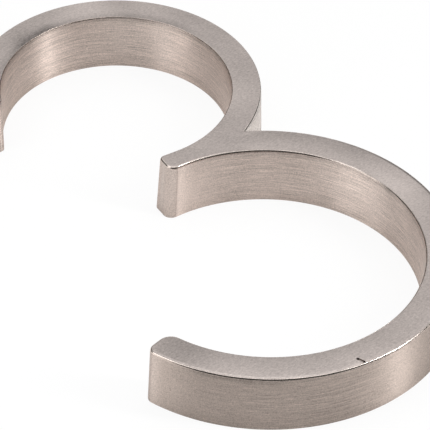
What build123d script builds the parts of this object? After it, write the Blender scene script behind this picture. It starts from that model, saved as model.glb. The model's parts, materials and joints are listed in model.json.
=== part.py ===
from build123d import *
from math import radians, tan
import os

# House number 3, cast in one piece and fixed from behind by two hidden studs.
# It lies on its back: +Y is the digit's top, +Z points out of its face, and the
# origin is midway between the stud holes, on the back. The line x = 0 joins the
# centres of the two round bowls.

# Driving dimensions, in millimetres and degrees; those in plan are taken on the face
depth = 12.6               # back to face
lower_radius = 37.5        # lower bowl, outside
upper_radius = 29.75       # upper bowl, outside
lower_stroke = 6.65        # width of the lower bowl's stroke
upper_stroke = 6.05        # width of the upper bowl's stroke
bar_thickness = 4.75       # middle bar, between the two counters
bar_overhang = 3.9         # how far the bar runs on past the bowls' centre line
lower_cut = 197.4          # direction in which the lower stroke is cut off, counted from +X
lower_cut_drop = 1.95      # how far below its bowl's centre that cut starts
upper_cut = 162.4          # direction in which the upper stroke is cut off, from its bowl's centre
wall_draft = 1.2           # casting draft of the upright walls
bar_draft = 3.0            # casting draft of the bar's end, which slopes more
outer_corner = 1.9         # upright corners of the two stroke ends, on the outside
lower_inner_corner = 2.85  # upright corner of the lower stroke's end, on its counter
upper_inner_corner = 1.3   # upright corner of the upper stroke's end, on its counter
bar_foot_corner = 1.8      # upright corner of the bar's end, on the lower counter
bar_top_corner = 1.15      # upright corner of the bar's end, on the upper counter
edge_round = 0.35          # rounded edge of the face

# Tapped stud holes in the back, with the bore at the thread's largest diameter
stud_thread = 4.0          # M4
hole_floor = 3.4           # metal left between a hole's tip and the face
mouth_chamfer = 0.3        # countersunk mouth of a hole, measured along the back
drill_point = 118.0        # full angle of the drill's tip

# A nick in the face of the lower bowl, near its outer edge
nick_length = 1.85
nick_width = 0.5
nick_depth = 0.18
nick_inset = 1.3           # from the face's outer edge to the nick's middle
nick_bearing = 267.6       # where the nick lies, counted from +X about the lower bowl
nick_slant = 27.0          # turn of the nick away from the radius

# Sizes that follow
lower_counter = lower_radius - lower_stroke
upper_counter = upper_radius - upper_stroke
centre_distance = lower_counter + bar_thickness + upper_counter
lower_middle = lower_radius - lower_stroke / 2
upper_middle = upper_radius - upper_stroke / 2
stud_spacing = lower_middle + centre_distance + upper_middle
lower_centre = Pos(0, lower_middle - stud_spacing / 2)
upper_centre = Pos(0, stud_spacing / 2 - upper_middle)
face_plane = Plane.XY.offset(depth)
flatness = 1e-6            # most that an upright wall's normal may lean before its draft

# Radii of the stroke ends' corners, in order from the digit's foot to its top
corner_radii = (
    outer_corner,
    lower_inner_corner,
    bar_foot_corner,
    bar_top_corner,
    upper_inner_corner,
    outer_corner,
)


def mouth():
    """The open left side of the digit: everything between the three stroke ends."""
    reach = lower_radius + upper_radius
    lower_start = lower_centre * Pos(0, -lower_cut_drop)
    lower_line = PolarLine(lower_start.position, reach, lower_cut)
    upper_line = PolarLine(upper_centre.position, reach, upper_cut)
    wedge = make_face(Polyline(lower_line @ 0, lower_line @ 1, upper_line @ 1, upper_line @ 0, close=True))
    kept_bar = Rectangle(2 * bar_overhang, stud_spacing)
    return wedge - kept_bar


def outline():
    """The digit as seen on its face: two rings joined by a bar with a straight upper edge."""
    bowls = lower_centre * Circle(lower_radius) + upper_centre * Circle(upper_radius)
    counters = lower_centre * Circle(lower_counter) + upper_centre * Circle(upper_counter)
    over_bar = upper_centre * Rectangle(bar_overhang, upper_counter, align=Align.MAX)
    return bowls - counters - over_bar - mouth()


def casting():
    """The outline run back from the face with its walls spreading, corners and edges rounded."""
    block = extrude(outline(), depth)
    block = draft(block.faces().filter_by(Axis.X), face_plane, bar_draft)
    upright_walls = block.faces().filter_by(lambda face: abs(face.normal_at().Z) < flatness)
    block = draft(upright_walls, face_plane, wall_draft)
    uprights = block.edges().filter_by(lambda edge: edge.bounding_box().size.Z > depth / 2)
    stroke_corners = uprights.filter_by(lambda edge: edge.center().X < -bar_overhang / 2)
    places = [edge.center() for edge in stroke_corners.sort_by(Axis.Y)]
    for place, radius in zip(places, corner_radii):
        block = fillet(block.edges().sort_by_distance(place)[0], radius)
    return fillet(block.faces().sort_by(Axis.Z)[-1].edges(), edge_round)


def stud_hole():
    """Cutter for one tapped hole: countersunk mouth, bore and the cone left by the drill."""
    bore_radius = stud_thread / 2
    mouth_radius = bore_radius + mouth_chamfer
    tip_height = bore_radius / tan(radians(drill_point / 2))
    tip = depth - hole_floor
    profile = Polyline(
        (0, 0),
        (mouth_radius, 0),
        (bore_radius, mouth_chamfer),
        (bore_radius, tip - tip_height),
        (0, tip),
        close=True,
    )
    return revolve(Plane.XZ * make_face(profile), Axis.Z)


def nick():
    """Cutter for the nick, a short rounded groove sunk into the face."""
    place = lower_centre * Rot(0, 0, nick_bearing) * Pos(lower_radius - nick_inset, 0)
    groove = place * Rot(0, 0, nick_slant) * SlotOverall(nick_length, nick_width)
    return extrude(Pos(0, 0, depth) * groove, -nick_depth)


house_number = casting() - nick()
for end in (-1, 1):
    house_number -= Pos(0, end * stud_spacing / 2) * stud_hole()

os.makedirs("parts", exist_ok=True)
export_step(house_number, "parts/house_number.step")
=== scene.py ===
import json
from math import asin, atan2, ceil, cos, pi, radians, sin, sqrt, tan

import bmesh
import bpy
from bpy.props import FloatProperty, FloatVectorProperty, IntProperty, PointerProperty
from mathutils import Matrix, Vector


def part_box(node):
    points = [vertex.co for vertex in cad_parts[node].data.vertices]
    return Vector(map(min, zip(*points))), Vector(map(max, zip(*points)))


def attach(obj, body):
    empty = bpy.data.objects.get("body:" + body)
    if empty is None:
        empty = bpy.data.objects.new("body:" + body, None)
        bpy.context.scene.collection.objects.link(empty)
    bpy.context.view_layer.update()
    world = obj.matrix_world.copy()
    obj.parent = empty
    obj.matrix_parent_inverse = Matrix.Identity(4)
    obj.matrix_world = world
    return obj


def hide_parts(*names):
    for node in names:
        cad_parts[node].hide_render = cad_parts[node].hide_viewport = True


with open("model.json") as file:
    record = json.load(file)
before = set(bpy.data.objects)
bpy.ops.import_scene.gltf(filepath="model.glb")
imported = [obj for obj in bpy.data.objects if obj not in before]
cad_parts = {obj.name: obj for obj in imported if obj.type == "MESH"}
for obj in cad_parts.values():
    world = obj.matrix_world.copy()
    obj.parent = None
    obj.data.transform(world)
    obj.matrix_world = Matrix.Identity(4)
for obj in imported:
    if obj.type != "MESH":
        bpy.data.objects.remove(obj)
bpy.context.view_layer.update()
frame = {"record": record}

bl_info = {
    "name": "Satin Nickel House Number",
    "version": (1, 0, 0),
    "blender": (4, 5, 0),
    "location": "View3D > Sidebar > House Number",
    "description": "Finishes the cast house number, taps its stud holes and sets the studio round it",
    "category": "Object",
}

MM = 0.001
CASTING = "house_number"
BODY = "root"
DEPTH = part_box(CASTING)[1].z

# The camera's sensor in millimetres, and how near and how far it sees in metres
SENSOR = 36
CLIP = (0.01, 100)

# The stud holes, one at each far end of the digit
MOUNTS = {mount["name"]: mount for mount in frame["record"]["mounts"]}
STUD_REACH = MOUNTS["stud_holes"]["dims"]["spacing_y_mm"] * MM / 2
BORE_RADIUS = MOUNTS["stud_holes"]["dims"]["hole_r_mm"] * MM

# Steps of the mesh round a stroke's corner, over the face's edge, round the nick's ends and round a hole, the
# shares of the depth at which the walls have rings, and the angle from which an edge stays sharp
CORNER_STEPS = 14
EDGE_STEPS = 12
NICK_STEPS = 10
HOLE_STEPS = 48
WALL_LEVELS = (0.25, 0.5, 0.75, 1.0)
SHARP_ANGLE = radians(30)

# Where one part of the casting passes into the next: the upright share of its normal at which the next part
# starts, and the share at which it is reached. The rounded edge lies over the wall and under the face, its
# lower half is in shade and gets no painted highlight, and painted shade reaches up it from below its crest
FACE_TURN = (0.95, 0.995)
BACK_TURN = (-0.9, -0.99)
OVER_WALL_TURN = (0.12, 0.4)
UNDER_FACE_TURN = (0.99, 0.9)
LOWER_EDGE_TURN = (0.85, 0.5)
DARKENED_EDGE_TURN = (0.92, 0.7)

# How crisp the patterns of the finish are
LINE_NOISE = {"Detail": 4.0, "Roughness": 0.7}
PATCH_NOISE = {"Detail": 3.0, "Roughness": 0.55}
GRAIN_NOISE = {"Detail": 1.0, "Roughness": 0.5}
CUT_NOISE = {"Detail": 2.0, "Roughness": 0.5}

# Spots of painted light and shade on the face: the bowl (0 lower, 1 upper), the bearing about
# it in degrees, how far across the stroke (-1 inner, 1 outer edge), reach in millimetres, change of shade
PAINTED_SPOTS = (
    (1, 98, -1.2, 4.5, -0.38),
    (1, 110, -0.9, 6.0, -0.34),
    (1, 74, 0.0, 10.0, 0.28),
    (1, 46, 0.9, 9.0, 0.10),
    (1, -35, -0.8, 10.0, 0.14),
    (0, 208, 0.8, 12.0, -0.28),
    (0, 6, 0.9, 14.0, 0.3),
)


def linear(hex_colour):
    """An sRGB hex colour as the linear red, green and blue that shaders take."""
    channels = (int(hex_colour[i:i + 2], 16) / 255 for i in (0, 2, 4))
    return tuple(c / 12.92 if c <= 0.04045 else ((c + 0.055) / 1.055) ** 2.4 for c in channels)


def opaque(colour):
    """A colour of three channels as the four that a colour socket takes."""
    return (*colour, 1.0)


def colour_property(name, description, hex_colour):
    return FloatVectorProperty(
        name=name, description=description, subtype="COLOR", size=3, min=0, max=1, default=linear(hex_colour)
    )


def length_property(name, description, millimetres):
    return FloatProperty(
        name=name,
        description=description,
        unit="LENGTH",
        subtype="DISTANCE",
        precision=5,
        default=millimetres * MM,
    )


def angle_property(name, description, degrees):
    return FloatProperty(
        name=name, description=description, unit="ROTATION", subtype="ANGLE", default=radians(degrees)
    )


def share_property(name, description, share):
    return FloatProperty(name=name, description=description, subtype="FACTOR", min=0, max=1, default=share)


def level_property(name, description, level):
    return FloatProperty(name=name, description=description, min=0, default=level)


def place_property(name, description, millimetres):
    return FloatVectorProperty(
        name=name,
        description=description,
        unit="LENGTH",
        subtype="XYZ",
        default=[x * MM for x in millimetres],
    )


def size_property(name, description, millimetres):
    return FloatVectorProperty(
        name=name, description=description, unit="LENGTH", size=2, default=[x * MM for x in millimetres]
    )


class CastingSettings(bpy.types.PropertyGroup):
    """Sizes of the casting, those in plan taken on its face"""

    lower_radius: length_property("Lower bowl", "Outside radius of the lower bowl", 37.5)
    upper_radius: length_property("Upper bowl", "Outside radius of the upper bowl", 29.75)
    lower_stroke: length_property("Lower stroke", "Width of the lower bowl's stroke", 6.65)
    upper_stroke: length_property("Upper stroke", "Width of the upper bowl's stroke", 6.05)
    bar_overhang: length_property("Bar", "How far the bar runs past the bowls' centre line", 3.9)
    lower_cut: angle_property("Lower cut", "Direction in which the lower stroke is cut off", 197.4)
    lower_cut_drop: length_property("Lower cut drop", "How far below the bowl's centre it starts", 1.95)
    upper_cut: angle_property("Upper cut", "Direction in which the upper stroke is cut off", 162.4)
    wall_draft: angle_property("Wall draft", "Slope of the upright walls", 1.2)
    bar_draft: angle_property("Bar draft", "Slope of the bar's end", 3.0)
    outer_corner: length_property("Outer corners", "Radius of the stroke ends' corners outside", 1.9)
    lower_inner_corner: length_property("Lower inner corner", "Radius of the lower end's inner corner", 2.85)
    upper_inner_corner: length_property("Upper inner corner", "Radius of the upper end's inner corner", 1.3)
    bar_foot_corner: length_property("Bar's lower corner", "Radius of the corner on the lower counter", 1.8)
    bar_top_corner: length_property("Bar's upper corner", "Radius of the corner on the upper counter", 1.15)
    edge_round: length_property("Edge", "How far in from the walls the face's edges are rounded", 0.42)
    edge_drop: length_property("Edge drop", "How far down the walls the face's edges are rounded", 0.65)
    keen_edge: share_property("Keen edge", "Size of the upper bowl's edges beside the lower bowl's", 0.5)
    keen_start: length_property("Keen from", "How far above the digit's middle they begin to shrink", 10.0)
    keen_full: length_property("Keen to", "How far above the digit's middle they have that size", 25.0)
    nick_length: length_property("Nick length", "Length of the nick in the face", 1.85)
    nick_width: length_property("Nick width", "Width of the nick", 0.5)
    nick_depth: length_property("Nick depth", "Depth of the nick", 0.18)
    nick_taper: share_property("Nick taper", "How much of its width the nick loses on each side", 0.12)
    nick_inset: length_property("Nick inset", "From the face's outer edge to the nick's middle", 1.3)
    nick_bearing: angle_property("Nick bearing", "Where the nick lies round the lower bowl", 267.6)
    nick_slant: angle_property("Nick slant", "Turn of the nick away from the radius", 27.0)
    mouth_chamfer: length_property("Hole mouth", "Countersink of the stud holes", 0.3)
    bore_depth: length_property("Bore depth", "Straight depth of the stud holes", 8.0)
    bore_tip: length_property("Bore tip", "Depth of the drill's tip", 9.2)
    step: length_property("Step", "Spacing of the mesh round the outline", 0.5)


class FinishSettings(bpy.types.PropertyGroup):
    """Colours and surface of the plated casting; places up and across it are measured from its middle"""

    face: colour_property("Face", "Satin nickel on the face", "BFB5B0")
    inner_walls: colour_property("Inner walls", "Brushed nickel on the walls of the counters", "D6C7BE")
    # The outer walls' colour is the nickel's, darkened by painted shade
    shaded_outer_walls: colour_property("Outer walls", "Brushed nickel on the walls outside", "C1B3AA")
    # The walls by the notch are painted pale: a painted highlight
    notch_highlight_tint: colour_property("Walls by the notch", "Pale plating that the belt does not reach", "EBE1DA")
    # The edges' paler colour is a painted highlight on the upper half of their rounding
    edges: colour_property("Edges", "Nickel rubbed bright along the face's edges", "D8CDC6")
    back: colour_property("Back", "Thin plating on the ground back", "9A918B")
    # The nick's dark colour is painted shade
    nick_shade: colour_property("Grime", "What has settled in the nick", "2A241F")
    face_roughness: share_property("Face roughness", "How far the face scatters light", 0.34)
    inner_roughness: share_property("Inner roughness", "How far the counters' walls scatter light", 0.41)
    outer_roughness: share_property("Outer roughness", "How far the walls outside scatter light", 0.48)
    edge_roughness: share_property("Edge roughness", "Gloss of the rubbed edges", 0.165)
    # The edge within the band of painted shade along the upper counter is rougher
    dull_roughness: share_property("Dull edge roughness", "How far the tarnished edge scatters light", 0.22)
    back_roughness: share_property("Back roughness", "How far the back scatters light", 0.5)
    brushing: share_property(
        "Brushing", "How much wider light spreads across the lines than along them", 0.93
    )
    line_spacing: length_property("Brush lines", "Spacing of the lines along the walls", 0.14)
    line_length: length_property("Brush line length", "Length of a line along the walls", 6.0)
    line_depth: length_property("Brush line depth", "Depth of the lines on the walls and the face", 0.006)
    line_roughness: level_property("Brush line roughness", "Change of gloss from line to line", 0.08)
    streaks: level_property("Streaks", "How much the colour changes from line to line", 1.85)
    smooth_start: length_property("Smooth from", "How far right the outer wall's lines begin to fade", -6.0)
    smooth_full: length_property("Smooth to", "How far right they have faded", 8.0)
    smooth_share: share_property("Smoothness", "How much of the lines is lost there", 0.8)
    smooth_level: share_property(
        "Smooth walls", "Shade of the outer walls without lines, from a dark line's to a pale one's", 0.47
    )
    hatch_spacing: length_property("Hatch", "Spacing of the fine lines over the face and the back", 0.35)
    hatch_length: length_property("Hatch length", "Length of such a line", 0.7)
    hatch: share_property("Hatch strength", "Strength of those lines beside the walls' lines", 0.58)
    hatch_turn: angle_property("Hatch direction", "Turn of those lines, from +X", 28.0)
    grain_size: length_property("Grain", "Size of the grain that blasting left under the plating", 0.25)
    graininess: level_property("Graininess", "How much the colour changes from grain to grain", 0.8)
    face_graininess: level_property("Graininess of the face", "The same on the smoother face", 0.35)
    patch_size: length_property("Patches", "Width of the paler and darker patches", 9.0)
    patchiness: level_property("Patchiness", "How much the colour changes from patch to patch", 0.16)
    wave_height: length_property("Waves", "Height of the waves that polishing leaves", 0.12)
    lower_crown: angle_property("Lower crown", "How far polishing turns over the lower stroke's edges", 3.0)
    upper_crown: angle_property("Upper crown", "How far polishing turns over the upper stroke's edges", 0.5)
    roll_width: length_property(
        "Rolled edge", "How far in from its edges the lower bowl's face rolls over", 0.9
    )
    roll_angle: angle_property("Roll", "How far the face has turned over where its edge begins", 19.0)
    roll_start: length_property("Roll from", "Height below which the outer edge rolls over", 5.0)
    roll_full: length_property("Roll to", "Height below which it rolls over fully", -20.0)
    # A band of painted shade along the upper counter, where the edge is also rougher
    dull_shade_band_width: length_property("Tarnish", "Width of the dull band along the upper counter", 2.4)
    dull_shade_band_shade: share_property("Tarnish shade", "How much darker that band is", 0.24)
    dull_shade_band_start: length_property("Tarnish from", "Where it begins, above the upper bowl's centre", 4.0)
    dull_shade_band_full: length_property("Tarnish to", "Where it is full, above the upper bowl's centre", 13.0)
    # Painted shade on the walls under the face's edges, left out on the right of the outer wall
    brow_height: length_property("Brow height", "How far dirt reaches down from the face's edges", 1.5)
    brow_painted_shade: share_property("Brow shade", "How much darker the walls are there", 0.28)
    unshaded_start: length_property("Wiped from", "How far right the outer wall begins to be clean of it", -18.0)
    unshaded_full: length_property("Wiped to", "How far right the outer wall is clean of it", -6.0)
    end_reach: length_property("Bar's end", "How far from its tip the bar is brushed up and down", 3.1)
    end_blend: share_property("Bar's line", "Share of that reach with no other brushing", 0.88)
    end_fade: length_property("Bar's fade", "How far from the bar's tip the walls' lines are full", 14.0)
    end_level: share_property(
        "Bar's walls", "Shade of the bar without lines, from a dark line's to a pale one's", 0.54
    )
    # Painted shade on the bar's end
    bar_end_painted_shade: share_property("End shade", "How much darker the bar's end is than the walls", 0.18)
    corner_start: length_property("Corner", "How far the lower end's corner is like the counters", 1.0)
    corner_full: length_property("Past the corner", "How far from it the wall is like others outside", 4.5)
    # The painted shade under the edges is left out near the lower end's corner
    corner_unshaded: length_property("Clean corner", "How far from that corner there is no dirt", 6.0)
    corner_shaded: length_property("Dirt past the corner", "How far from it the dirt is full", 12.0)
    corner_fade: length_property("Corner's fade", "How far from that corner the walls' lines are full", 30.0)
    # How far the painted highlight by the notch reaches, and where it has faded
    notch_reach: length_property("Notch", "How far from the bowls' notch the walls are pale", 14.0)
    notch_fade: length_property("Notch's fade", "How far from it they are as elsewhere", 35.0)
    # How the painted shade in the nick lies: lighter in its middle, full round its ends
    nick_shine: share_property("Nick", "How much metal shows through the grime in its middle", 0.6)
    nick_spot: length_property("Nick's ends", "How far the grime reaches round its ends", 0.42)
    # Painted shade, darker towards the foot of the walls
    foot_height: length_property("Foot height", "How far dirt reaches up the foot of the walls", 5.0)
    foot_painted_shade: share_property("Foot shade", "How much darker the foot of the walls is", 0.06)
    speck_spacing: length_property("Specks", "Spacing of the tiny bright specks", 3.0)
    speck_size: length_property("Speck size", "Radius of a speck", 0.16)
    speck_shade: level_property("Speck brightness", "How much paler a speck is", 0.25)


class ThreadSettings(bpy.types.PropertyGroup):
    """The M4 thread in the stud holes"""

    pitch: length_property("Pitch", "Rise of one turn", 0.7)
    height: length_property("Height", "How far the thread stands out of the bore", 0.379)
    start: length_property("Start", "Height of the first turn above the back", 0.55)
    length: length_property("Length", "Tapped length", 6.6)
    steps: IntProperty(name="Steps", description="Faces round one turn", min=12, default=40)
    sunk: length_property("Root", "How far the thread's foot is sunk into the bore's wall", 0.03)
    foot: share_property("Foot", "Half the width of its foot, as a share of the pitch", 0.44)
    crest: share_property("Crest", "Half the width of its crest, as a share of the pitch", 0.06)
    run_out: level_property("Run-out", "Turns in which it grows at one end and dies away at the other", 0.75)
    tail: level_property("Tail", "Turns of that growth which its very ends have already", 0.02)
    cut_spacing: length_property("Cutting marks", "Spacing of the marks that the tap leaves", 0.3)
    cut_depth: length_property("Cutting marks' depth", "Depth of those marks", 0.01)
    cut_strength: share_property("Cutting marks' strength", "How much of that depth shows", 0.3)
    smooth: share_property("Smooth flanks", "Roughness of the smoothest places", 0.25)
    torn: share_property("Torn flanks", "Roughness of the roughest places", 0.5)


class StageSettings(bpy.types.PropertyGroup):
    """Camera, floor and light"""

    azimuth: angle_property("Azimuth", "Side from which the camera looks, from the front", -31.61)
    elevation: angle_property("Elevation", "Height of the camera above the horizon", 40.05)
    roll: angle_property("Roll", "Turn of the camera about its own axis", 0.95)
    distance: length_property("Distance", "From the camera to the point it looks at", 805.73)
    aim: place_property("Aim", "Point on the table that the camera looks at", (4.444, 1.116, 0.0))
    lens: FloatProperty(name="Lens", description="Focal length in millimetres", default=333.8)
    floor: colour_property("Floor", "Table top", "FAFAFA")
    floor_roughness: share_property("Floor roughness", "How far the table top scatters light", 0.6)
    floor_size: length_property("Floor size", "Side of the table top", 12000.0)
    shadow: share_property("Shadow", "How much of the shadow the white table top keeps", 0.12)
    metal_shadow: share_property("Shadow in the metal", "How much of that shadow shows in the metal", 0.8)
    horizon: level_property("Horizon", "Brightness of the studio's walls", 0.08)
    zenith: level_property("Zenith", "Brightness of the soft light overhead", 1.5)
    sky_elevation: angle_property(
        "Soft light's height", "Height of the soft light's middle, behind the number", 80.0
    )
    sky_reach: angle_property("Soft light's reach", "How far from its middle the soft light has faded", 66.0)
    sky_core: angle_property("Soft light's core", "How far from its middle the soft light stays full", 5.0)
    left_level: level_property("Left lamp", "Brightness of the broad lamp on the left", 1.55)
    left_place: place_property("Left lamp's place", "Middle of the broad lamp", (-275.0, 16.0, 140.0))
    left_size: size_property("Left lamp's size", "Width and height of the broad lamp", (200.0, 300.0))
    front_level: level_property("Front lamp", "Brightness of the narrow lamp in front on the right", 17.2)
    front_place: place_property("Front lamp's place", "Middle of the narrow lamp", (293.0, -314.0, 280.0))
    front_size: size_property("Front lamp's size", "Width and height of the narrow lamp", (60.0, 300.0))


def add_node(tree, kind, inputs=None, **settings):
    """Adds a node with its settings and its inputs, by name or by number.

    An input is a value, a socket to link, or a node, whose first output in use is then linked.
    """
    node = tree.nodes.new(kind)
    for name, value in settings.items():
        setattr(node, name, value)
    sockets = [socket for socket in node.inputs if socket.enabled]
    named = {socket.name: socket for socket in reversed(sockets)}
    for key, value in (inputs or {}).items():
        socket = named[key] if isinstance(key, str) else sockets[key]
        if isinstance(value, bpy.types.Node):
            value = next(output for output in value.outputs if output.enabled)
        if isinstance(value, bpy.types.NodeSocket):
            tree.links.new(value, socket)
        else:
            socket.default_value = value
    return node


def new_material(name):
    """An empty node material and its tree."""
    material = bpy.data.materials.new(name)
    material.use_nodes = True
    material.node_tree.nodes.clear()
    return material, material.node_tree


class Bowl:
    """One of the digit's round bowls: its centre on the face, and the radii of its stroke."""

    def __init__(self, centre, radius, stroke):
        self.centre = Vector((0, centre))
        self.outside = radius
        self.counter = radius - stroke
        self.middle = radius - stroke / 2


def bowls(casting):
    """The lower and the upper bowl, each with a stud hole in the middle of its stroke's far end."""
    lower_middle = casting.lower_radius - casting.lower_stroke / 2
    upper_middle = casting.upper_radius - casting.upper_stroke / 2
    return (
        Bowl(lower_middle - STUD_REACH, casting.lower_radius, casting.lower_stroke),
        Bowl(STUD_REACH - upper_middle, casting.upper_radius, casting.upper_stroke),
    )


def heading(angle):
    """The direction of a bearing, in plan."""
    return Vector((cos(angle), sin(angle)))


def notch_bearings(lower, upper):
    """Where the notch between the two bowls lies, seen from the centre of the lower and of the upper one."""
    span = upper.centre.y - lower.centre.y
    rise = (lower.outside ** 2 - upper.outside ** 2 + span * span) / (2 * span)
    return asin(rise / lower.outside), asin((rise - span) / upper.outside)


def bearing(vector):
    """The bearing of a direction in plan."""
    return atan2(vector.y, vector.x)


def outline(casting):
    """The digit's edge on the face, run with the metal on its left, as (point, outward normal, spread).

    Spread is how far the wall below a point moves out for each unit of depth. The notch between the bowls is
    the only sharp corner: its normal is longer, so that both walls stay parallel when the edge is set in.
    """
    lower, upper = bowls(casting)
    wall, bar_end = tan(casting.wall_draft), tan(casting.bar_draft)
    rim = []

    def along_bowl(centre, radius, start, end):
        """Points between two bearings on a bowl's wall, with the metal inside where the run turns left."""
        turn = end - start
        count = ceil(abs(turn) * radius / casting.step)
        for i in range(1, count):
            out = heading(start + turn * i / count)
            normal = out if turn > 0 else -out
            rim.append((centre + out * radius, normal, normal * wall))

    def round_corner(centre, radius, start, end, spreads=(wall, wall)):
        """A stroke's corner, moved out by the two walls that it joins and keeping its radius."""
        walls = Matrix((heading(start), heading(end)))
        spread = walls.inverted() @ Vector(spreads)
        for i in range(CORNER_STEPS + 1):
            normal = heading(start + (end - start) * i / CORNER_STEPS)
            rim.append((centre + normal * radius, normal, spread))

    def against_cut(start, along, metal, bowl, radius, distance):
        """Centre of the corner that lies against a cut, at that distance from its bowl's centre."""
        foot = start + metal * radius - bowl.centre
        near = foot.dot(along)
        return bowl.centre + foot + along * (sqrt(near * near - foot.dot(foot) + distance * distance) - near)

    lower_along = heading(casting.lower_cut)
    lower_metal = Vector((-lower_along.y, lower_along.x))
    lower_start = lower.centre - Vector((0, casting.lower_cut_drop))
    outer, inner = casting.outer_corner, casting.lower_inner_corner
    lower_out = against_cut(lower_start, lower_along, lower_metal, lower, outer, lower.outside - outer)
    lower_in = against_cut(lower_start, lower_along, lower_metal, lower, inner, lower.counter + inner)
    off_lower_cut = bearing(-lower_metal) % (2 * pi)

    upper_along = heading(casting.upper_cut)
    upper_metal = Vector((upper_along.y, -upper_along.x))
    outer, inner = casting.outer_corner, casting.upper_inner_corner
    upper_out = against_cut(upper.centre, upper_along, upper_metal, upper, outer, upper.outside - outer)
    upper_in = against_cut(upper.centre, upper_along, upper_metal, upper, inner, upper.counter + inner)
    off_upper_cut = bearing(-upper_metal) % (2 * pi)

    notch_on_lower, notch_on_upper = notch_bearings(lower, upper)
    notch_middle = (heading(notch_on_lower) + heading(notch_on_upper)).normalized()
    notch_normal = notch_middle / notch_middle.dot(heading(notch_on_lower))

    bar_level = upper.centre.y - upper.counter
    above, below = casting.bar_top_corner, casting.bar_foot_corner
    bar_top = Vector((above - casting.bar_overhang, bar_level - above))
    inset = below - casting.bar_overhang
    bar_foot = Vector((inset, lower.centre.y + sqrt((lower.counter + below) ** 2 - inset * inset)))

    # Round the lower bowl from its cut to the notch, then round the upper bowl to its cut
    turned = bearing(lower_out - lower.centre) % (2 * pi)
    round_corner(lower_out, casting.outer_corner, off_lower_cut, turned)
    along_bowl(lower.centre, lower.outside, turned, 2 * pi + notch_on_lower)
    rim.append((lower.centre + heading(notch_on_lower) * lower.outside, notch_normal, notch_normal * wall))
    turned = bearing(upper_out - upper.centre)
    along_bowl(upper.centre, upper.outside, notch_on_upper, turned)
    round_corner(upper_out, casting.outer_corner, turned, off_upper_cut)

    # Back inside the upper counter, round the bar's end, and inside the lower counter
    turned = bearing(upper_in - upper.centre)
    round_corner(upper_in, casting.upper_inner_corner, off_upper_cut, turned + pi)
    along_bowl(upper.centre, upper.counter, turned, -pi / 2)
    rim.append((Vector((0, bar_level)), Vector((0, 1)), Vector((0, wall))))
    round_corner(bar_top, above, pi / 2, pi, (wall, bar_end))
    turned = bearing(bar_foot - lower.centre)
    round_corner(bar_foot, below, pi, turned + pi, (bar_end, wall))
    ending = bearing(lower_in - lower.centre)
    along_bowl(lower.centre, lower.counter, turned, ending)
    round_corner(lower_in, casting.lower_inner_corner, ending + pi, off_lower_cut)
    return rim


def section(casting):
    """How far in and how far down the casting's side runs, from the face over its edge to the back."""
    for i in range(EDGE_STEPS + 1):
        angle = pi / 2 * (1 - i / EDGE_STEPS)
        yield casting.edge_round * (cos(angle) - 1), casting.edge_drop * (1 - sin(angle))
    for share in WALL_LEVELS:
        yield 0.0, DEPTH * share


def skin(shape, near, far):
    """Faces between two closed rings of vertices."""
    for i in range(len(near)):
        j = (i + 1) % len(near)
        shape.faces.new((near[i], near[j], far[j], far[i]))


def fill(shape, *rings):
    """A flat face bounded by closed rings of vertices, the first outside and the others holes."""
    pairs = [(ring[i - 1], ring[i]) for ring in rings for i in range(len(ring))]
    edges = [shape.edges.get(pair) or shape.edges.new(pair) for pair in pairs]
    bmesh.ops.triangle_fill(shape, edges=edges, use_beauty=True)


def ring_at(shape, points, level):
    """Vertices over points in plan, all at one level."""
    return [shape.verts.new((*point, level)) for point in points]


def circle(centre, radius):
    """Points round a stud hole."""
    return [centre + heading(2 * pi * i / HOLE_STEPS) * radius for i in range(HOLE_STEPS)]


def nick_centre(casting, bowl):
    """Middle of the nick on the face, in plan."""
    return bowl.centre + heading(casting.nick_bearing) * (bowl.outside - casting.nick_inset)


def nick_outline(casting, bowl, narrowing):
    """The nick's edge on the face: a slot with round ends, set in by the narrowing."""
    middle = nick_centre(casting, bowl)
    turn = casting.nick_bearing + casting.nick_slant
    radius = casting.nick_width / 2
    reach = casting.nick_length / 2 - radius
    points = []
    for end in (1, -1):
        centre = middle + heading(turn) * reach * end
        start = turn - pi / 2 if end > 0 else turn + pi / 2
        for i in range(NICK_STEPS + 1):
            points.append(centre + heading(start + pi * i / NICK_STEPS) * (radius - narrowing))
    return points


def cast_mesh(casting):
    """The whole casting as one closed mesh: sides, face with its nick, and back with its blind holes."""
    shape = bmesh.new()
    lower = bowls(casting)[0]
    rim = outline(casting)
    rings = []
    for out, drop in section(casting):
        ring = []
        for point, normal, spread in rim:
            size = 1
            if drop <= casting.edge_drop:
                keen = (point.y - casting.keen_start) / (casting.keen_full - casting.keen_start)
                size += (casting.keen_edge - 1) * min(1, max(0, keen))
            corner = point + normal * out * size + spread * drop * size
            ring.append(shape.verts.new((*corner, DEPTH - drop * size)))
        rings.append(ring)
    for near, far in zip(rings, rings[1:]):
        skin(shape, far, near)

    taper = casting.nick_width * casting.nick_taper
    nick_mouth = ring_at(shape, nick_outline(casting, lower, 0), DEPTH)
    nick_floor = ring_at(shape, nick_outline(casting, lower, taper), DEPTH - casting.nick_depth)
    skin(shape, nick_mouth, nick_floor)
    fill(shape, nick_floor)
    fill(shape, rings[0], nick_mouth)

    mouths = []
    for end in (-1, 1):
        centre = Vector((0, end * STUD_REACH))
        mouth = ring_at(shape, circle(centre, BORE_RADIUS + casting.mouth_chamfer), 0)
        throat = ring_at(shape, circle(centre, BORE_RADIUS), casting.mouth_chamfer)
        foot = ring_at(shape, circle(centre, BORE_RADIUS), casting.bore_depth)
        tip = shape.verts.new((*centre, casting.bore_tip))
        skin(shape, mouth, throat)
        skin(shape, throat, foot)
        for i in range(HOLE_STEPS):
            shape.faces.new((foot[i - 1], foot[i], tip))
        mouths.append(mouth)
    fill(shape, rings[-1], *mouths)

    bmesh.ops.recalc_face_normals(shape, faces=shape.faces)
    for face in shape.faces:
        face.smooth = True
    mesh = bpy.data.meshes.new("casting")
    shape.to_mesh(mesh)
    shape.free()
    mesh.set_sharp_from_angle(angle=SHARP_ANGLE)
    return mesh


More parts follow.
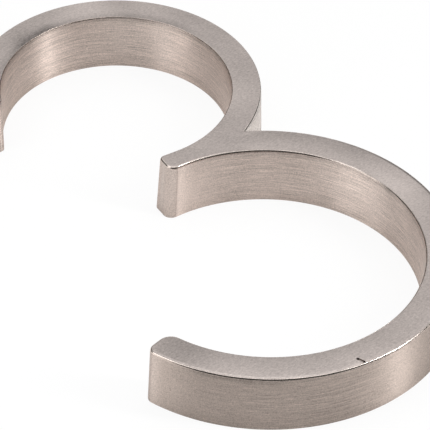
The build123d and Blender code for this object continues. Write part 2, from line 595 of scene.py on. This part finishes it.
def satin_nickel_brushed(casting, finish):
    """Satin nickel plating on a casting, belt-brushed along its walls and hatched on its face and back.

    To the eye that is a warm grey metal. Lamps show as tall soft bars on the walls, because the brush lines
    spread light up and down. The face is even and matt, and its glossy edges flash, helped by a painted
    highlight. The walls by the notch carry a painted highlight, and the outer walls are darkened by painted
    shade. The bar's end is brushed up and down and darkened by painted shade. Spots of painted light and
    shade make paler and darker places on the face, and a band of painted shade, where the edge is also
    rougher, runs along the upper counter. Painted shade darkens the walls under the face's edges, towards
    their foot, and the nick.
    """
    material, tree = new_material("satin_nickel_brushed")
    lower, upper = bowls(casting)
    lower_half, upper_half = casting.lower_stroke / 2, casting.upper_stroke / 2
    coordinates = add_node(tree, "ShaderNodeTexCoord").outputs
    place = coordinates["Object"]
    facing = add_node(tree, "ShaderNodeSeparateXYZ", {"Vector": coordinates["Normal"]}).outputs["Z"]
    position = add_node(tree, "ShaderNodeSeparateXYZ", {"Vector": place}).outputs
    right, along, height = position["X"], position["Y"], position["Z"]

    # How far it is in plan from the bar's tip, the lower end's corner, the notch and the bowls' centres
    in_plan = add_node(tree, "ShaderNodeVectorMath", {0: place, 1: (1, 1, 0)}, operation="MULTIPLY")
    bar_level = (upper.centre.y - upper.counter + lower.centre.y + lower.counter) / 2
    tip = Vector((-casting.bar_overhang, bar_level))
    corner = lower.centre - Vector((0, casting.lower_cut_drop)) + heading(casting.lower_cut) * lower.outside
    notch = lower.centre + heading(notch_bearings(lower, upper)[0]) * lower.outside
    from_tip, from_corner, from_notch, from_lower, from_upper = (
        add_node(tree, "ShaderNodeVectorMath", {0: in_plan, 1: (*point, 0)}, operation="DISTANCE")
        for point in (tip, corner, notch, lower.centre, upper.centre)
    )

    # How far it lies outside the middle line of each stroke, and of the nearer one
    off_lower, off_upper = (
        add_node(tree, "ShaderNodeMath", {0: radius, 1: middle}, operation="SUBTRACT")
        for radius, middle in ((from_lower, lower.middle), (from_upper, upper.middle))
    )
    nearest = add_node(tree, "ShaderNodeMath", {0: off_lower, 1: off_upper}, operation="MINIMUM")

    # Where on the casting it lies: each place is a share that grows from none to all between two measures
    upper_level = upper.centre.y
    at = {}
    for name, measure, start, full, easing in (
        ("face", facing, *FACE_TURN, "SMOOTHSTEP"),
        ("back", facing, *BACK_TURN, "SMOOTHSTEP"),
        ("over_wall", facing, *OVER_WALL_TURN, "SMOOTHSTEP"),
        ("under_face", facing, *UNDER_FACE_TURN, "SMOOTHSTEP"),
        ("lower_edge", facing, *LOWER_EDGE_TURN, "SMOOTHSTEP"),
        # Painted shade under the edges: from a little below the edge's crest, down the wall
        ("darkened_edge", facing, *DARKENED_EDGE_TURN, "SMOOTHSTEP"),
        ("foot", height, finish.foot_height, 0.0, "SMOOTHSTEP"),
        ("brow", height, DEPTH - finish.brow_height, DEPTH - casting.edge_drop / 2, "LINEAR"),
        ("outside", nearest, -lower_half / 2, lower_half / 2, "SMOOTHSTEP"),
        ("notch", from_notch, finish.notch_fade, finish.notch_reach, "SMOOTHSTEP"),
        ("past_corner", from_corner, finish.corner_start, finish.corner_full, "LINEAR"),
        ("unshaded_corner", from_corner, finish.corner_shaded, finish.corner_unshaded, "LINEAR"),
        ("smooth_corner", from_corner, finish.corner_fade, 0.0, "LINEAR"),
        ("bar_end", from_tip, finish.end_reach, finish.end_reach * finish.end_blend, "SMOOTHSTEP"),
        ("smooth_bar", from_tip, finish.end_fade, finish.end_reach, "LINEAR"),
        ("smooth_right", right, finish.smooth_start, finish.smooth_full, "LINEAR"),
        ("unshaded_right", right, finish.unshaded_start, finish.unshaded_full, "LINEAR"),
        ("low", along, finish.roll_start, finish.roll_full, "SMOOTHSTEP"),
        ("outer_roll", off_lower, lower_half - finish.roll_width, lower_half, "LINEAR"),
        ("inner_roll", off_lower, finish.roll_width / 2 - lower_half, -lower_half, "LINEAR"),
        ("counter", off_upper, finish.dull_shade_band_width - upper_half, -upper_half, "SMOOTHSTEP"),
        ("top", along, upper_level + finish.dull_shade_band_start, upper_level + finish.dull_shade_band_full, "SMOOTHSTEP"),
    ):
        at[name] = add_node(
            tree,
            "ShaderNodeMapRange",
            {"Value": measure, "From Min": start, "From Max": full},
            interpolation_type=easing,
        )

    # Places made of two others: in both of them, in either, or in the first without the second
    both, either, without = "MULTIPLY", "MAXIMUM", "SUBTRACT"
    for name, first, operation, second in (
        ("flat", "face", either, "back"),
        ("edge", "over_wall", both, "under_face"),
        # Outside, away from the notch and past the lower end's corner: the outer walls, which take painted
        # shade and are rougher
        ("outside_but_notch", "outside", without, "notch"),
        ("outer_wall", "outside_but_notch", both, "past_corner"),
        # Outside, by the notch: a painted highlight
        ("notch_highlight", "outside", both, "notch"),
        # The band along the upper counter: painted shade on the face and edge, and a rougher edge
        ("dull_shade_band", "counter", both, "top"),
        ("shaded_face_band", "dull_shade_band", both, "over_wall"),
        # The upper half of the rounded edge, outside the dull band, takes a painted highlight
        ("upper_edge", "edge", without, "lower_edge"),
        ("edge_highlight", "upper_edge", without, "dull_shade_band"),
        ("end_wall", "bar_end", both, "under_face"),
        ("buffed", "bar_end", either, "edge"),
        ("low_roll", "outer_roll", both, "low"),
        ("smooth_wall", "smooth_right", both, "outer_wall"),
        # Where the painted shade under the edges is left out, and where it lies
        ("unshaded_wall", "unshaded_right", both, "outer_wall"),
        ("unshaded_ends", "smooth_bar", either, "unshaded_corner"),
        ("unshaded", "unshaded_ends", either, "unshaded_wall"),
        ("darkened_brow", "brow", both, "darkened_edge"),
        ("brow_wall", "darkened_brow", without, "unshaded"),
    ):
        at[name] = add_node(
            tree, "ShaderNodeMath", {0: at[first], 1: at[second]}, operation=operation, use_clamp=True
        )

    # Real brush lines are some 0.05 mm apart, too fine to show, so the lines and the hatch are drawn coarser
    line_scale = (1 / finish.line_length, 1 / finish.line_length, 1 / finish.line_spacing)
    lines_at = add_node(tree, "ShaderNodeVectorMath", {0: place, 1: line_scale}, operation="MULTIPLY")
    hatch_at = add_node(
        tree,
        "ShaderNodeMapping",
        {
            "Vector": place,
            "Rotation": (0, 0, -finish.hatch_turn),
            "Scale": (1 / finish.hatch_length, 1 / finish.hatch_spacing, 1 / finish.hatch_length),
        },
    )
    lines, hatch, patches, grain = (
        add_node(tree, "ShaderNodeTexNoise", {"Vector": vector, "Scale": scale, **crispness})
        for vector, scale, crispness in (
            (lines_at, 1.0, LINE_NOISE),
            (hatch_at, 1.0, LINE_NOISE),
            (place, 1 / finish.patch_size, PATCH_NOISE),
            (place, 1 / finish.grain_size, GRAIN_NOISE),
        )
    )
    fine_hatch = add_node(
        tree,
        "ShaderNodeMapRange",
        {"Value": hatch, "To Min": 0.5 - finish.hatch / 2, "To Max": 0.5 + finish.hatch / 2},
    )

    # The lines fade to the right outside, towards the lower end's corner and towards the bar's end
    smooth_wall = add_node(
        tree, "ShaderNodeMath", {0: at["smooth_wall"], 1: finish.smooth_share}, operation="MULTIPLY"
    )
    smooth = add_node(tree, "ShaderNodeMath", {0: at["smooth_corner"], 1: smooth_wall}, operation="MAXIMUM")
    marks = lines
    for share, level in (
        (smooth, finish.smooth_level),
        (at["smooth_bar"], finish.end_level),
        (at["flat"], fine_hatch),
    ):
        marks = add_node(tree, "ShaderNodeMix", {"Factor": share, "A": marks, "B": level}, data_type="FLOAT")
    marks_change, patch_change, grain_change = (
        add_node(tree, "ShaderNodeMath", {0: pattern, 1: 0.5}, operation="SUBTRACT")
        for pattern in (marks, patches, grain)
    )

    # Polishing turns the face over towards each stroke's edges, most on the lower bowl, and leaves it wavy.
    # The heights are in metres, so the bump takes them as they are
    falls = []
    for distance, crown in ((off_lower, finish.lower_crown), (off_upper, finish.upper_crown)):
        squared = add_node(tree, "ShaderNodeMath", {0: distance, 1: distance}, operation="MULTIPLY")
        slope = -tan(crown) / casting.lower_stroke
        falls.append(add_node(tree, "ShaderNodeMath", {0: squared, 1: slope}, operation="MULTIPLY"))
    crowned = add_node(tree, "ShaderNodeMath", {0: falls[0], 1: falls[1]}, operation="MAXIMUM")
    rolling = add_node(tree, "ShaderNodeMath", {0: at["low_roll"], 1: at["inner_roll"]}, operation="ADD")
    rolled = add_node(tree, "ShaderNodeMath", {0: rolling, 1: rolling}, operation="MULTIPLY")
    roll_depth = finish.roll_width * tan(finish.roll_angle) / 2
    fall = add_node(
        tree, "ShaderNodeMath", {0: rolled, 1: -roll_depth, 2: crowned}, operation="MULTIPLY_ADD"
    )
    relief = add_node(tree, "ShaderNodeMath", {0: fall, 1: at["face"]}, operation="MULTIPLY")
    for change, depth in ((patch_change, finish.wave_height), (marks_change, finish.line_depth)):
        relief = add_node(
            tree, "ShaderNodeMath", {0: change, 1: depth, 2: relief}, operation="MULTIPLY_ADD"
        )
    normal = add_node(tree, "ShaderNodeBump", {"Strength": 1.0, "Distance": 1.0, "Height": relief})

    # Spots of painted light and shade, where the face is not rolled over, and specks
    painted_spots = 0.0
    for which, turn, across, reach, change in PAINTED_SPOTS:
        bowl = (lower, upper)[which]
        radius = bowl.middle + across * (bowl.outside - bowl.middle)
        middle = bowl.centre + heading(radians(turn)) * radius
        from_painted_spot = add_node(
            tree, "ShaderNodeVectorMath", {0: place, 1: (*middle, DEPTH)}, operation="DISTANCE"
        )
        painted_spot = add_node(
            tree,
            "ShaderNodeMapRange",
            {"Value": from_painted_spot, "From Min": reach * MM, "From Max": 0.0, "To Max": change},
            interpolation_type="SMOOTHSTEP",
        )
        painted_spots = add_node(tree, "ShaderNodeMath", {0: painted_spot, 1: painted_spots}, operation="ADD")
    unrolled = add_node(
        tree, "ShaderNodeMath", {0: at["face"], 1: rolled}, operation="SUBTRACT", use_clamp=True
    )
    dots = add_node(tree, "ShaderNodeTexVoronoi", {"Vector": place, "Scale": 1 / finish.speck_spacing})
    speck_edge = finish.speck_size / finish.speck_spacing
    speck = add_node(
        tree,
        "ShaderNodeMapRange",
        {"Value": dots.outputs["Distance"], "From Min": speck_edge, "From Max": speck_edge / 2},
    )

    # Painted shade darkens the nick round its two ends, and more lightly between them
    nick_at = add_node(
        tree,
        "ShaderNodeMapping",
        {
            "Vector": place,
            "Location": (*nick_centre(casting, lower), DEPTH),
            "Rotation": (0, 0, casting.nick_bearing + casting.nick_slant),
        },
        vector_type="TEXTURE",
    )
    half_nick = add_node(tree, "ShaderNodeVectorMath", {0: nick_at}, operation="ABSOLUTE")
    nick_end = ((casting.nick_length - casting.nick_width) / 2, 0, 0)
    from_end = add_node(tree, "ShaderNodeVectorMath", {0: half_nick, 1: nick_end}, operation="DISTANCE")
    past_end = add_node(tree, "ShaderNodeVectorMath", {0: half_nick, 1: nick_end}, operation="SUBTRACT")
    off_nick = add_node(tree, "ShaderNodeVectorMath", {0: past_end, 1: (0, 0, 0)}, operation="MAXIMUM")
    from_nick = add_node(tree, "ShaderNodeVectorMath", {0: off_nick}, operation="LENGTH")
    spots, film = (
        add_node(
            tree,
            "ShaderNodeMapRange",
            {
                "Value": measure,
                "From Min": finish.nick_spot,
                "From Max": finish.nick_spot / 2,
                "To Max": cover,
            },
        )
        for measure, cover in ((from_end, 1.0), (from_nick, 1 - finish.nick_shine))
    )
    darkened = add_node(tree, "ShaderNodeMath", {0: spots, 1: film}, operation="MAXIMUM")

    # Colour: the plating of each place, made paler or darker by all of these, and painted shade over the nick
    plating = opaque(finish.inner_walls)
    for share, tint in (
        # painted highlight on the walls by the notch
        (at["notch_highlight"], finish.notch_highlight_tint),
        # painted shade on the outer walls
        (at["outer_wall"], finish.shaded_outer_walls),
        # painted highlight on the edges
        (at["edge_highlight"], finish.edges),
        (at["face"], finish.face),
        (at["back"], finish.back),
    ):
        plating = add_node(
            tree, "ShaderNodeMix", {"Factor": share, "A": plating, "B": opaque(tint)}, data_type="RGBA"
        )
    grain_depth = add_node(
        tree,
        "ShaderNodeMapRange",
        {"Value": at["face"], "To Min": finish.graininess, "To Max": finish.face_graininess},
    )
    shade = 1.0
    for share, change in (
        (grain_change, grain_depth),
        (marks_change, finish.streaks),
        (patch_change, finish.patchiness),
        # painted shade towards the walls' foot
        (at["foot"], -finish.foot_painted_shade),
        # painted shade on the bar's end
        (at["end_wall"], -finish.bar_end_painted_shade),
        # painted shade under the face's edges
        (at["brow_wall"], -finish.brow_painted_shade),
        # painted light and shade in spots on the face
        (unrolled, painted_spots),
        # painted shade in the band along the upper counter
        (at["shaded_face_band"], -finish.dull_shade_band_shade),
        (speck, finish.speck_shade),
    ):
        shade = add_node(
            tree, "ShaderNodeMath", {0: share, 1: change, 2: shade}, operation="MULTIPLY_ADD"
        )
    shaded = add_node(tree, "ShaderNodeVectorMath", {0: plating, "Scale": shade}, operation="SCALE")
    colour = add_node(
        tree, "ShaderNodeMix", {"Factor": darkened, "A": shaded, "B": opaque(finish.nick_shade)}, data_type="RGBA"
    )

    # Roughness: matt face and walls, coarser outside than in the counters, and glossier edges
    edge_gloss = add_node(
        tree,
        "ShaderNodeMix",
        {"Factor": at["dull_shade_band"], "A": finish.edge_roughness, "B": finish.dull_roughness},
        data_type="FLOAT",
    )
    rough = finish.inner_roughness
    for share, level in (
        (at["outer_wall"], finish.outer_roughness),
        (at["edge"], edge_gloss),
        (at["face"], finish.face_roughness),
        (at["back"], finish.back_roughness),
    ):
        rough = add_node(tree, "ShaderNodeMix", {"Factor": share, "A": rough, "B": level}, data_type="FLOAT")
    roughness = add_node(
        tree,
        "ShaderNodeMath",
        {0: marks_change, 1: finish.line_roughness, 2: rough},
        operation="MULTIPLY_ADD",
    )

    # Light spreads most across the brush lines: up and down the walls, and across the hatch on the face
    across_hatch = (-sin(finish.hatch_turn), cos(finish.hatch_turn), 0)
    sideways = add_node(
        tree, "ShaderNodeVectorMath", {0: coordinates["Normal"], 1: (0, 0, 1)}, operation="CROSS_PRODUCT"
    )
    spread = (0, 0, 1)
    for share, direction in ((at["buffed"], sideways), (at["flat"], across_hatch)):
        spread = add_node(
            tree, "ShaderNodeMix", {"Factor": share, "A": spread, "B": direction}, data_type="VECTOR"
        )

    shader = add_node(
        tree,
        "ShaderNodeBsdfPrincipled",
        {
            "Base Color": colour,
            "Metallic": 1.0,
            "Roughness": roughness,
            "Anisotropic": finish.brushing,
            "Tangent": spread,
            "Normal": normal,
        },
    )
    add_node(tree, "ShaderNodeOutputMaterial", {"Surface": shader})
    return material


def satin_nickel_tapped(finish, thread):
    """Thin plating over a freshly cut thread: bright on the flanks, with the tool's marks round them.

    Real cutting marks are some 0.05 mm apart, too fine to show, so they are drawn coarser.
    """
    material, tree = new_material("satin_nickel_tapped")
    place = add_node(tree, "ShaderNodeTexCoord").outputs["Object"]
    scale = 1 / thread.cut_spacing
    cut = add_node(tree, "ShaderNodeTexNoise", {"Vector": place, "Scale": scale, **CUT_NOISE})
    rough = add_node(
        tree, "ShaderNodeMapRange", {"Value": cut, "To Min": thread.smooth, "To Max": thread.torn}
    )
    normal = add_node(
        tree,
        "ShaderNodeBump",
        {"Strength": thread.cut_strength, "Distance": thread.cut_depth, "Height": cut},
    )
    shader = add_node(
        tree,
        "ShaderNodeBsdfPrincipled",
        {"Base Color": opaque(finish.back), "Metallic": 1.0, "Roughness": rough, "Normal": normal},
    )
    add_node(tree, "ShaderNodeOutputMaterial", {"Surface": shader})
    return material


def white_table(stage):
    """White laminate pressed matt, which the camera and the metal see as white with a part of its shadow."""
    material, tree = new_material("white_laminate_matt")
    path = add_node(tree, "ShaderNodeLightPath").outputs
    mirrored = add_node(
        tree,
        "ShaderNodeMath",
        {0: path["Is Glossy Ray"], 1: path["Is Transmission Ray"]},
        operation="MAXIMUM",
    )
    in_metal = add_node(
        tree, "ShaderNodeMath", {0: mirrored, 1: 1 - stage.metal_shadow}, operation="MULTIPLY"
    )
    share = add_node(
        tree,
        "ShaderNodeMath",
        {0: path["Is Camera Ray"], 1: 1 - stage.shadow, 2: in_metal},
        operation="MULTIPLY_ADD",
    )
    laminate = add_node(
        tree,
        "ShaderNodeBsdfPrincipled",
        {
            "Base Color": opaque(stage.floor),
            "Roughness": stage.floor_roughness,
            "Specular IOR Level": 0.0,
        },
    )
    white = add_node(tree, "ShaderNodeEmission", {"Color": (1, 1, 1, 1), "Strength": 1.0})
    mixed = add_node(tree, "ShaderNodeMixShader", {0: share, 1: laminate, 2: white})
    add_node(tree, "ShaderNodeOutputMaterial", {"Surface": mixed})
    return material


class HOUSE_NUMBER_OT_cast_number(bpy.types.Operator):
    """Makes the casting with clean rounded edges, in brushed satin nickel"""

    bl_idname = "house_number.cast_number"
    bl_label = "Cast Number"

    def execute(self, context):
        casting = context.scene.house_number_casting
        mesh = cast_mesh(casting)
        mesh.materials.append(satin_nickel_brushed(casting, context.scene.house_number_finish))
        piece = bpy.data.objects.new("casting", mesh)
        context.scene.collection.objects.link(piece)
        evening = piece.modifiers.new("even_normals", "WEIGHTED_NORMAL")
        evening.keep_sharp = True
        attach(piece, BODY)
        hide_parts(CASTING)
        return {"FINISHED"}


class HOUSE_NUMBER_OT_tap_stud_holes(bpy.types.Operator):
    """Cuts an M4 thread into each stud hole"""

    bl_idname = "house_number.tap_stud_holes"
    bl_label = "Tap Stud Holes"

    def execute(self, context):
        thread = context.scene.house_number_thread
        material = satin_nickel_tapped(context.scene.house_number_finish, thread)
        for name, end in (("lower_thread", -1), ("upper_thread", 1)):
            piece = self.ridge(name, thread)
            piece.location = (0, end * STUD_REACH, 0)
            piece.data.materials.append(material)
            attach(piece, BODY)
        return {"FINISHED"}

    def ridge(self, name, thread):
        """The thread's ridge: a helix of triangular section that grows from the bore and dies away in it."""
        turns = thread.length / thread.pitch
        shape = bmesh.new()
        rings = []
        for step in range(int(turns * thread.steps) + 1):
            turn = step / thread.steps
            nearer_end = min(turn, turns - turn)
            grown = min(1.0, (nearer_end + thread.tail) / thread.run_out)
            angle = 2 * pi * turn
            level = thread.start + thread.pitch * turn
            root = BORE_RADIUS + thread.sunk
            crest = BORE_RADIUS - thread.height * grown
            half_root = thread.pitch * thread.foot * grown
            half_crest = thread.pitch * thread.crest
            profile = ((root, -half_root), (crest, -half_crest), (crest, half_crest), (root, half_root))
            rings.append(
                [shape.verts.new((r * cos(angle), r * sin(angle), level + rise)) for r, rise in profile]
            )
        for near, far in zip(rings, rings[1:]):
            skin(shape, near, far)
        shape.faces.new(rings[0][::-1])
        shape.faces.new(rings[-1])
        bmesh.ops.recalc_face_normals(shape, faces=shape.faces)
        mesh = bpy.data.meshes.new(name)
        shape.to_mesh(mesh)
        shape.free()
        piece = bpy.data.objects.new(name, mesh)
        bpy.context.scene.collection.objects.link(piece)
        return piece


class HOUSE_NUMBER_OT_set_stage(bpy.types.Operator):
    """Makes the white table, the studio light and the camera"""

    bl_idname = "house_number.set_stage"
    bl_label = "Set Stage"

    def execute(self, context):
        stage = context.scene.house_number_stage
        self.table(context, stage)
        self.studio(context, stage)
        self.lamps(context, stage)
        self.camera(context, stage)
        context.scene.view_settings.view_transform = "Standard"
        return {"FINISHED"}

    def table(self, context, stage):
        """A white table top with the number in its middle."""
        shape = bmesh.new()
        bmesh.ops.create_grid(shape, x_segments=1, y_segments=1, size=stage.floor_size / 2)
        mesh = bpy.data.meshes.new("table_top")
        shape.to_mesh(mesh)
        shape.free()
        mesh.materials.append(white_table(stage))
        floor = bpy.data.objects.new("table_top", mesh)
        context.scene.collection.objects.link(floor)

    def studio(self, context, stage):
        """A dim studio under one broad soft light, which hangs overhead and a little behind the number."""
        world = bpy.data.worlds.new("studio")
        context.scene.world = world
        world.use_nodes = True
        tree = world.node_tree
        tree.nodes.clear()
        direction = add_node(tree, "ShaderNodeTexCoord").outputs["Generated"]
        a, e = stage.azimuth, stage.sky_elevation
        axis = (-sin(a) * cos(e), cos(a) * cos(e), sin(e))
        nearness = add_node(tree, "ShaderNodeVectorMath", {0: direction, 1: axis}, operation="DOT_PRODUCT")
        level = add_node(
            tree,
            "ShaderNodeMapRange",
            {
                "Value": nearness,
                "From Min": cos(stage.sky_reach),
                "From Max": cos(stage.sky_core),
                "To Min": stage.horizon,
                "To Max": stage.zenith,
            },
            interpolation_type="SMOOTHSTEP",
        )
        light = add_node(tree, "ShaderNodeBackground", {"Color": (1, 1, 1, 1), "Strength": level})
        add_node(tree, "ShaderNodeOutputWorld", {"Surface": light})

    def lamps(self, context, stage):
        """Two soft lamps beside the number; a lamp's level is the brightness that a mirror would show."""
        for name, place, size, level in (
            ("left_lamp", stage.left_place, stage.left_size, stage.left_level),
            ("front_lamp", stage.front_place, stage.front_size, stage.front_level),
        ):
            lamp = bpy.data.lights.new(name, "AREA")
            lamp.shape = "RECTANGLE"
            lamp.size, lamp.size_y = size
            lamp.energy = level * pi * size[0] * size[1]
            holder = bpy.data.objects.new(name, lamp)
            holder.location = place
            holder.rotation_mode = "QUATERNION"
            holder.rotation_quaternion = Vector(place).to_track_quat("Z", "Y")
            holder.visible_camera = False
            context.scene.collection.objects.link(holder)

    def camera(self, context, stage):
        """A camera with a long lens, at the height and side from which the number is seen."""
        a, e = stage.azimuth, stage.elevation
        back = Vector((sin(a) * cos(e), -cos(a) * cos(e), sin(e)))
        view = bpy.data.cameras.new("camera")
        view.lens = stage.lens
        view.sensor_width = SENSOR
        view.clip_start, view.clip_end = CLIP
        camera = bpy.data.objects.new("camera", view)
        level = (-back).to_track_quat("-Z", "Y").to_matrix().to_4x4()
        turned = level @ Matrix.Rotation(stage.roll, 4, "Z")
        camera.matrix_world = Matrix.Translation(Vector(stage.aim) + back * stage.distance) @ turned
        context.scene.collection.objects.link(camera)
        context.scene.camera = camera


class HOUSE_NUMBER_PT_sidebar(bpy.types.Panel):
    """Settings and steps of the house number"""

    bl_label = "House Number"
    bl_space_type = "VIEW_3D"
    bl_region_type = "UI"
    bl_category = "House Number"

    def draw(self, context):
        scene = context.scene
        for groups, operator in (
            ((scene.house_number_casting, scene.house_number_finish), HOUSE_NUMBER_OT_cast_number),
            ((scene.house_number_thread,), HOUSE_NUMBER_OT_tap_stud_holes),
            ((scene.house_number_stage,), HOUSE_NUMBER_OT_set_stage),
        ):
            box = self.layout.box()
            for settings in groups:
                for name in settings.bl_rna.properties.keys():
                    if name not in ("rna_type", "name"):
                        box.prop(settings, name)
            box.operator(operator.bl_idname)


CLASSES = (
    CastingSettings,
    FinishSettings,
    ThreadSettings,
    StageSettings,
    HOUSE_NUMBER_OT_cast_number,
    HOUSE_NUMBER_OT_tap_stud_holes,
    HOUSE_NUMBER_OT_set_stage,
    HOUSE_NUMBER_PT_sidebar,
)
SETTINGS = {
    "house_number_casting": CastingSettings,
    "house_number_finish": FinishSettings,
    "house_number_thread": ThreadSettings,
    "house_number_stage": StageSettings,
}


def register():
    for cls in CLASSES:
        bpy.utils.register_class(cls)
    for name, group in SETTINGS.items():
        setattr(bpy.types.Scene, name, PointerProperty(type=group))


def unregister():
    for name in SETTINGS:
        delattr(bpy.types.Scene, name)
    for cls in reversed(CLASSES):
        bpy.utils.unregister_class(cls)


def main():
    register()
    bpy.ops.house_number.cast_number()
    bpy.ops.house_number.tap_stud_holes()
    bpy.ops.house_number.set_stage()


if __name__ == "__main__":
    main()
